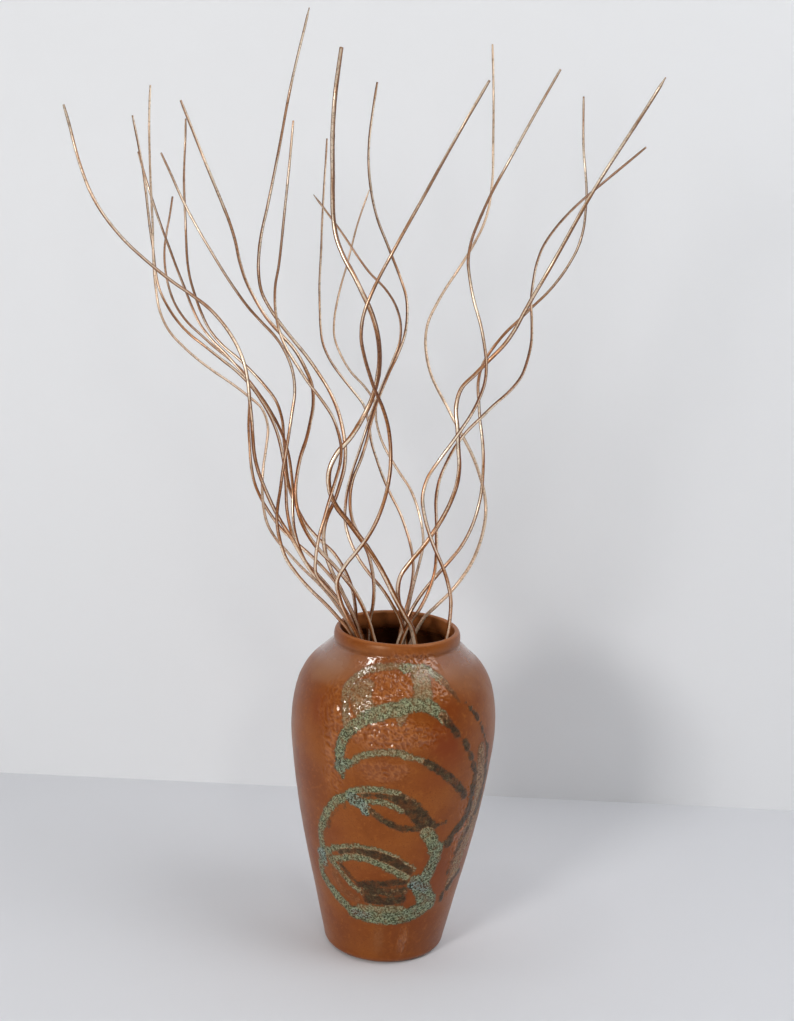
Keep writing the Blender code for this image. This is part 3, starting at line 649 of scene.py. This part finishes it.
# A wet-looking coat lies on the crawled skin, on the neck and where a stroke is only a thin veil.
wet = maths(glaze_tree, "MAXIMUM", ranged(glaze_tree, crawl_mask, 0.3, 1.0, 0.0, 0.6), on_neck)
veiled = maths(glaze_tree, "MULTIPLY", ranged(glaze_tree, covered, 0.7, 0.55),
               ranged(glaze_tree, covered, 0.35, 0.45))
on_veil = maths(glaze_tree, "MULTIPLY", veiled, ranged(glaze_tree, from_trail, 0.5, -1.0))
wet = maths(glaze_tree, "MAXIMUM", wet, on_veil)
glaze_tree.links.new(wet, glaze_shader.inputs["Coat Weight"])
glaze_shader.inputs["Coat Roughness"].default_value = 0.07
vase_mesh.materials.append(glaze)
vase = bpy.data.objects.new("vase_glazed", vase_mesh)
bpy.context.scene.collection.objects.link(vase)
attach(vase, "root")
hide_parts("vase")


# The branches are thin dried shoots, each grown in one piece, waved by being dried in a twist and
# painted copper-gold. They stand loose in the vase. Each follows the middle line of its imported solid.
SAME_POINT = 0.01 * MM
FIRST_RING = 0.1 * MM
BRANCH_SIDES = 12
BRANCH_STEP = 2.2 * MM
PLAIN_WIDTH = 1.15
UNEVEN_WIDTH = 0.16
FLUTE_DEPTH = 0.24 * MM
KNOT_SPACING = 95.0 * MM
KNOT_LENGTH = 2.6 * MM
KNOT_SWELL = 0.10
THIN_TIP = 9.0 * MM
SEED_STEP = 3.7

# How wide a tip ends, as a share of the shoot: most are cut blunt, and a few are drawn out or whole.
BLUNT_TIP = 0.82
TIPS = {"branch_middle_2": 0.45, "branch_middle_3": 0.4, "branch_middle_5": 0.96,
        "branch_middle_6": 0.5, "branch_right_6": 0.4}

# How pale (above nought) or dark (below nought) some shoots are painted.
TINTS = {"branch_left_4": 0.7, "branch_middle_4": 0.3, "branch_middle_6": 0.6, "branch_right_2": 0.9,
         "branch_right_1": -0.2, "branch_middle_5": -0.4, "branch_middle_7": -0.5,
         "branch_left_5": -0.3, "branch_left_8": -0.2, "branch_middle_2": -0.1}

# Painted light: each shoot is painted paler on one side, about towards the front, turned up to this much to
# either side.
LIT_SIDE_TURN = math.radians(32.0)
LIT_SIDE_MIDDLE = math.radians(4.0)
LIT_SIDE_LIFT = 0.15
LIT_SIDE_BEAT = 2.4


def middle_line(node):
    """Middle points and thickness of a packed branch, ring by ring from its foot to its tip."""
    loose = bmesh.new()
    loose.from_mesh(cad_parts[node].data)
    bmesh.ops.remove_doubles(loose, verts=loose.verts, dist=SAME_POINT)
    loose.verts.index_update()
    lowest = min(v.co.z for v in loose.verts)
    ring = [v for v in loose.verts if v.co.z < lowest + FIRST_RING]
    seen = set(ring)
    middles = []
    widths = []
    while ring:
        centre = sum((v.co for v in ring), Vector()) / len(ring)
        middles.append(centre)
        widths.append(min((v.co - centre).length for v in ring))
        beyond = {e.other_vert(v) for v in ring for e in v.link_edges} - seen
        seen |= beyond
        ring = sorted(beyond, key=lambda v: v.index)
    loose.free()
    return middles, widths


def stored(tree, geometry, name, value):
    """The geometry with a value kept at its points under a name."""
    return new_node(tree, "GeometryNodeStoreNamedAttribute", {"Geometry": geometry, "Name": name,
                    "Value": value}, data_type="FLOAT", domain="POINT").outputs[0]


def recalled(tree, name):
    """A value kept at the points under a name."""
    return new_node(tree, "GeometryNodeInputNamedAttribute", {"Name": name}, data_type="FLOAT").outputs[0]


def branch_tree(material):
    """Geometry nodes that grow a round, knotted, tapering shoot along a middle line."""
    tree = bpy.data.node_groups.new("grown_branch", "GeometryNodeTree")
    tree.interface.new_socket("Geometry", in_out="INPUT", socket_type="NodeSocketGeometry")
    tree.interface.new_socket("Sides", in_out="INPUT", socket_type="NodeSocketInt")
    for name in ("Step", "Knot spacing", "Knot length", "Knot swell", "Thin tip", "Tip width", "Seed"):
        tree.interface.new_socket(name, in_out="INPUT", socket_type="NodeSocketFloat")
    tree.interface.new_socket("Geometry", in_out="OUTPUT", socket_type="NodeSocketGeometry")
    given = new_node(tree, "NodeGroupInput").outputs
    spine = new_node(tree, "GeometryNodeMeshToCurve", {0: given["Geometry"]}).outputs[0]
    spine = new_node(tree, "GeometryNodeSetCurveRadius", {"Curve": spine,
                     "Radius": recalled(tree, "thick")}).outputs[0]
    spine = new_node(tree, "GeometryNodeCurveSplineType", {"Curve": spine},
                     spline_type="CATMULL_ROM").outputs[0]
    spine = new_node(tree, "GeometryNodeSetSplineResolution", {0: spine, 2: 12}).outputs[0]
    spine = new_node(tree, "GeometryNodeResampleCurve", {"Curve": spine, "Length": given["Step"]},
                     mode="LENGTH").outputs[0]
    along = new_node(tree, "GeometryNodeSplineParameter").outputs
    full = new_node(tree, "GeometryNodeSplineLength").outputs["Length"]
    to_tip = maths(tree, "SUBTRACT", full, along["Length"])
    seeded = maths(tree, "ADD", maths(tree, "DIVIDE", along["Length"], given["Knot spacing"]), given["Seed"])
    cells = new_node(tree, "ShaderNodeTexVoronoi", {"W": seeded, "Scale": 1.0, "Randomness": 0.8},
                     voronoi_dimensions="1D").outputs["Distance"]
    apart = maths(tree, "DIVIDE", maths(tree, "MULTIPLY", cells, given["Knot spacing"]), given["Knot length"])
    knot = maths(tree, "POWER", math.e, maths(tree, "MULTIPLY", maths(tree, "POWER", apart, 2.0), -1.0))
    uneven = new_node(tree, "ShaderNodeTexNoise", {"W": maths(tree, "MULTIPLY", seeded, 3.1), "Scale": 1.0,
                      "Detail": 2.0}, noise_dimensions="1D").outputs[0]
    wide = maths(tree, "MULTIPLY_ADD", uneven, UNEVEN_WIDTH, PLAIN_WIDTH)
    wide = maths(tree, "ADD", wide, maths(tree, "MULTIPLY", knot, given["Knot swell"]))
    taper = ranged(tree, to_tip, 0.0, given["Thin tip"], given["Tip width"], 1.0)
    wide = maths(tree, "MULTIPLY", wide, taper)
    now = new_node(tree, "GeometryNodeInputRadius").outputs[0]
    spine = new_node(tree, "GeometryNodeSetCurveRadius", {"Curve": spine,
                     "Radius": maths(tree, "MULTIPLY", now, wide)}).outputs[0]
    for name, value in (("along", along["Length"]), ("reach", along["Factor"]), ("knot", knot)):
        spine = stored(tree, spine, name, value)
    ring = new_node(tree, "GeometryNodeCurvePrimitiveCircle", {"Resolution": given["Sides"],
                    "Radius": 1.0}).outputs[0]
    share_round = new_node(tree, "GeometryNodeSplineParameter").outputs["Factor"]
    turn_round = maths(tree, "MULTIPLY", share_round, 2 * math.pi)
    for name, wave in (("side_a", "COSINE"), ("side_b", "SINE")):
        ring = stored(tree, ring, name, maths(tree, wave, turn_round))
    shoot = new_node(tree, "GeometryNodeCurveToMesh", {"Curve": spine, "Profile Curve": ring,
                     "Scale": new_node(tree, "GeometryNodeInputRadius").outputs[0], "Fill Caps": True})
    unrolled = new_node(tree, "ShaderNodeCombineXYZ", {0: recalled(tree, "side_a"),
                        1: recalled(tree, "side_b"),
                        2: maths(tree, "MULTIPLY", recalled(tree, "along"), 30.0)}).outputs[0]
    flute = new_node(tree, "ShaderNodeTexNoise", {"Vector": unrolled, "W": given["Seed"], "Scale": 1.3,
                     "Detail": 2.0}, noise_dimensions="4D").outputs[0]
    push = maths(tree, "MULTIPLY_ADD", flute, FLUTE_DEPTH, -FLUTE_DEPTH / 2)
    normal = new_node(tree, "GeometryNodeInputNormal").outputs[0]
    offset = new_node(tree, "ShaderNodeVectorMath", {0: normal, "Scale": push}, operation="SCALE").outputs[0]
    body = new_node(tree, "GeometryNodeSetPosition", {"Geometry": shoot.outputs[0],
                    "Offset": offset}).outputs[0]
    body = new_node(tree, "GeometryNodeSetShadeSmooth", {0: body}).outputs[0]
    body = new_node(tree, "GeometryNodeRealizeInstances", {0: body}).outputs[0]
    body = new_node(tree, "GeometryNodeSetMaterial", {"Geometry": body, "Material": material}).outputs[0]
    tree.links.new(body, new_node(tree, "NodeGroupOutput").inputs[0])
    return tree


# The paint is streaked along each shoot. It is deeper low down and greyer towards the tip, where it has aged.
# The side turned about towards the front is painted paler as painted light, with a near-white painted
# highlight along it.
bark, bark_tree, bark_shader = new_material("copper_gold_painted_bark")
bark_spot = new_node(bark_tree, "ShaderNodeTexCoord").outputs["Object"]
streaks = new_node(bark_tree, "ShaderNodeCombineXYZ", {0: attribute(bark_tree, "side_a"),
                   1: attribute(bark_tree, "side_b"),
                   2: maths(bark_tree, "MULTIPLY", attribute(bark_tree, "along"), 14.0)}).outputs[0]
paint = mixed(bark_tree, mottle(bark_tree, streaks, 1.6, 0.35, 0.7), linear(130, 72, 32), linear(94, 48, 20))
patchy = maths(bark_tree, "MULTIPLY_ADD", mottle(bark_tree, streaks, 1.1, 0.3, 0.7), 0.5, -0.25)
painted_lit_side = maths(bark_tree, "ADD", attribute(bark_tree, "painted_lit_side"), patchy)
bark_level = new_node(bark_tree, "ShaderNodeSeparateXYZ", {0: bark_spot}).outputs["Z"]
low_down = ranged(bark_tree, bark_level, 0.46, 0.3, 0.0, 0.6)
paint = mixed(bark_tree, low_down, paint, linear(102, 48, 16))
faded = ranged(bark_tree, attribute(bark_tree, "reach"), 0.55, 1.0, 0.0, 0.6)
paint = mixed(bark_tree, faded, paint, linear(122, 92, 72))
darker = ranged(bark_tree, attribute(bark_tree, "tint"), 0.0, -1.0, 0.0, 0.6)
paint = mixed(bark_tree, darker, paint, linear(88, 58, 42))
# Painted light: paler on the side facing about towards the front, then a near-white painted highlight stripe
# along it.
paint = mixed(bark_tree, ranged(bark_tree, painted_lit_side, 0.5, 1.0, 0.0, 0.85), paint, linear(210, 145, 88))
paint = mixed(bark_tree, ranged(bark_tree, painted_lit_side, 0.8, 0.97, 0.0, 0.95), paint, linear(255, 240, 216))
golden = maths(bark_tree, "MULTIPLY", low_down, 0.5)
paint = mixed(bark_tree, golden, paint, linear(180, 106, 48))
greyer = maths(bark_tree, "MULTIPLY", faded, 0.7)
paint = mixed(bark_tree, greyer, paint, linear(152, 124, 104))
aged = maths(bark_tree, "MULTIPLY", mottle(bark_tree, streaks, 2.4, 0.52, 0.74), 0.4)
paint = mixed(bark_tree, aged, paint, linear(112, 72, 48))
paler = ranged(bark_tree, attribute(bark_tree, "tint"), 0.0, 1.0, 0.0, 0.6)
paint = mixed(bark_tree, paler, paint, linear(232, 204, 176))
at_knot = maths(bark_tree, "MULTIPLY", attribute(bark_tree, "knot"), 0.25)
paint = mixed(bark_tree, at_knot, paint, linear(92, 60, 40))
bark_tree.links.new(paint, bark_shader.inputs["Base Color"])
satin = ranged(bark_tree, mottle(bark_tree, bark_spot, 400.0, 0.3, 0.7), 0.0, 1.0, 0.26, 0.34)
bark_tree.links.new(satin, bark_shader.inputs["Roughness"])
metal = ranged(bark_tree, aged, 0.0, 0.4, 0.45, 0.25)
bark_tree.links.new(metal, bark_shader.inputs["Metallic"])
bark_shader.inputs["Coat Weight"].default_value = 0.2
bark_shader.inputs["Coat Roughness"].default_value = 0.18
bark_shader.inputs["Specular IOR Level"].default_value = 0.3
fibres = mottle(bark_tree, streaks, 5.0, 0.25, 0.75)
bark_relief = new_node(bark_tree, "ShaderNodeBump", {"Strength": 0.15, "Distance": 0.0001, "Height": fibres})
bark_tree.links.new(bark_relief.outputs[0], bark_shader.inputs["Normal"])

grow = branch_tree(bark)
sockets = {item.name: item.identifier for item in grow.interface.items_tree if item.in_out == "INPUT"}
branch_nodes = sorted(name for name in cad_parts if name.startswith("branch_"))
for number, node in enumerate(branch_nodes):
    middles, widths = middle_line(node)
    line = bpy.data.meshes.new(node + "_line")
    line.from_pydata(middles, [(i, i + 1) for i in range(len(middles) - 1)], [])
    line.attributes.new("thick", "FLOAT", "POINT").data.foreach_set("value", widths)
    guide = bpy.data.objects.new(node + "_line", line)
    bpy.context.scene.collection.objects.link(guide)
    growth = guide.modifiers.new("growth", "NODES")
    growth.node_group = grow
    for name, value in (("Sides", BRANCH_SIDES), ("Step", BRANCH_STEP), ("Knot spacing", KNOT_SPACING),
                        ("Knot length", KNOT_LENGTH), ("Knot swell", KNOT_SWELL), ("Thin tip", THIN_TIP),
                        ("Tip width", TIPS.get(node, BLUNT_TIP)), ("Seed", SEED_STEP * number + 1.0)):
        growth[sockets[name]] = value
    grown = guide.evaluated_get(bpy.context.evaluated_depsgraph_get())
    mesh = bpy.data.meshes.new_from_object(grown)
    mesh.name = node + "_painted"
    kept_in_box = np.clip([v.co for v in mesh.vertices], cad_box[0], cad_box[1])
    mesh.vertices.foreach_set("co", kept_in_box.ravel())
    tint = mesh.attributes.new("tint", "FLOAT", "POINT")
    tint.data.foreach_set("value", [TINTS.get(node, 0.0)] * len(mesh.vertices))
    # How squarely each point faces one direction about towards the front: there the shoot gets its painted
    # light and painted highlight.
    outward = np.array([v.vector for v in mesh.vertex_normals])
    facing_light = mesh.attributes.new("painted_lit_side", "FLOAT", "POINT")
    turned = LIT_SIDE_TURN * math.sin(LIT_SIDE_BEAT * number) + LIT_SIDE_MIDDLE
    lit_from = np.array((math.sin(turned), -math.cos(turned), LIT_SIDE_LIFT))
    facing_light.data.foreach_set("value", outward @ lit_from)
    branch = bpy.data.objects.new(node + "_painted", mesh)
    bpy.context.scene.collection.objects.link(branch)
    bpy.data.objects.remove(guide, do_unlink=True)
    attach(branch, "root")
    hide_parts(node)


# Daylight comes from a window of two panes on the left, near the camera. A narrow strip on the
# ceiling gives the glint under the lip, a small lamp stands right of the camera, and a broad soft
# light fills the right. The room is darker behind the camera, which gives the gloss its shape.
# Each light has its place, the point it aims at, its size, its power in watts and its colour.
LIGHTS = [("window", (-0.92, -1.65, 0.92), (0.0, 0.0, 0.25), (0.34, 0.34), 14.0, (1.0, 0.99, 0.97)),
          ("window_pane", (-1.08, -1.51, 0.92), (0.0, 0.0, 0.25), (0.2, 0.2), 3.8, (1.0, 0.99, 0.97)),
          ("ceiling", (-0.86, -0.30, 1.95), (0.0, -0.06, 0.27), (0.42, 0.07), 2.4, (1.0, 0.99, 0.96)),
          ("small_lamp", (0.35, -1.60, 1.10), (0.0, 0.0, 0.35), (0.16, 0.16), 2.5, (1.0, 0.97, 0.92)),
          ("right_wall", (1.3, -0.6, 1.9), (0.9, 0.3, 0.2), (1.3, 1.3), 18.0, (0.98, 0.99, 1.0))]
ROOM_BRIGHT = 0.54
ROOM_DARK = 0.12
DARK_UP_TO = -0.5
BRIGHT_FROM = 0.25
for name, place, aim, size, power, colour in LIGHTS:
    lamp = bpy.data.lights.new(name, "AREA")
    lamp.shape = "RECTANGLE"
    lamp.size, lamp.size_y = size
    lamp.energy = power
    lamp.color = colour
    light = bpy.data.objects.new(name, lamp)
    light.location = place
    light.rotation_mode = "QUATERNION"
    light.rotation_quaternion = (Vector(aim) - Vector(place)).to_track_quat("-Z", "Y")
    bpy.context.scene.collection.objects.link(light)
room = bpy.data.worlds.new("pale_room")
room.use_nodes = True
towards = new_node(room.node_tree, "ShaderNodeTexCoord").outputs["Generated"]
depth = new_node(room.node_tree, "ShaderNodeSeparateXYZ", {0: towards}).outputs["Y"]
background = room.node_tree.nodes["Background"]
background.inputs["Color"].default_value = (0.95, 0.97, 1.0, 1.0)
room.node_tree.links.new(ranged(room.node_tree, depth, DARK_UP_TO, BRIGHT_FROM, ROOM_DARK, ROOM_BRIGHT),
                         background.inputs["Strength"])
bpy.context.scene.world = room
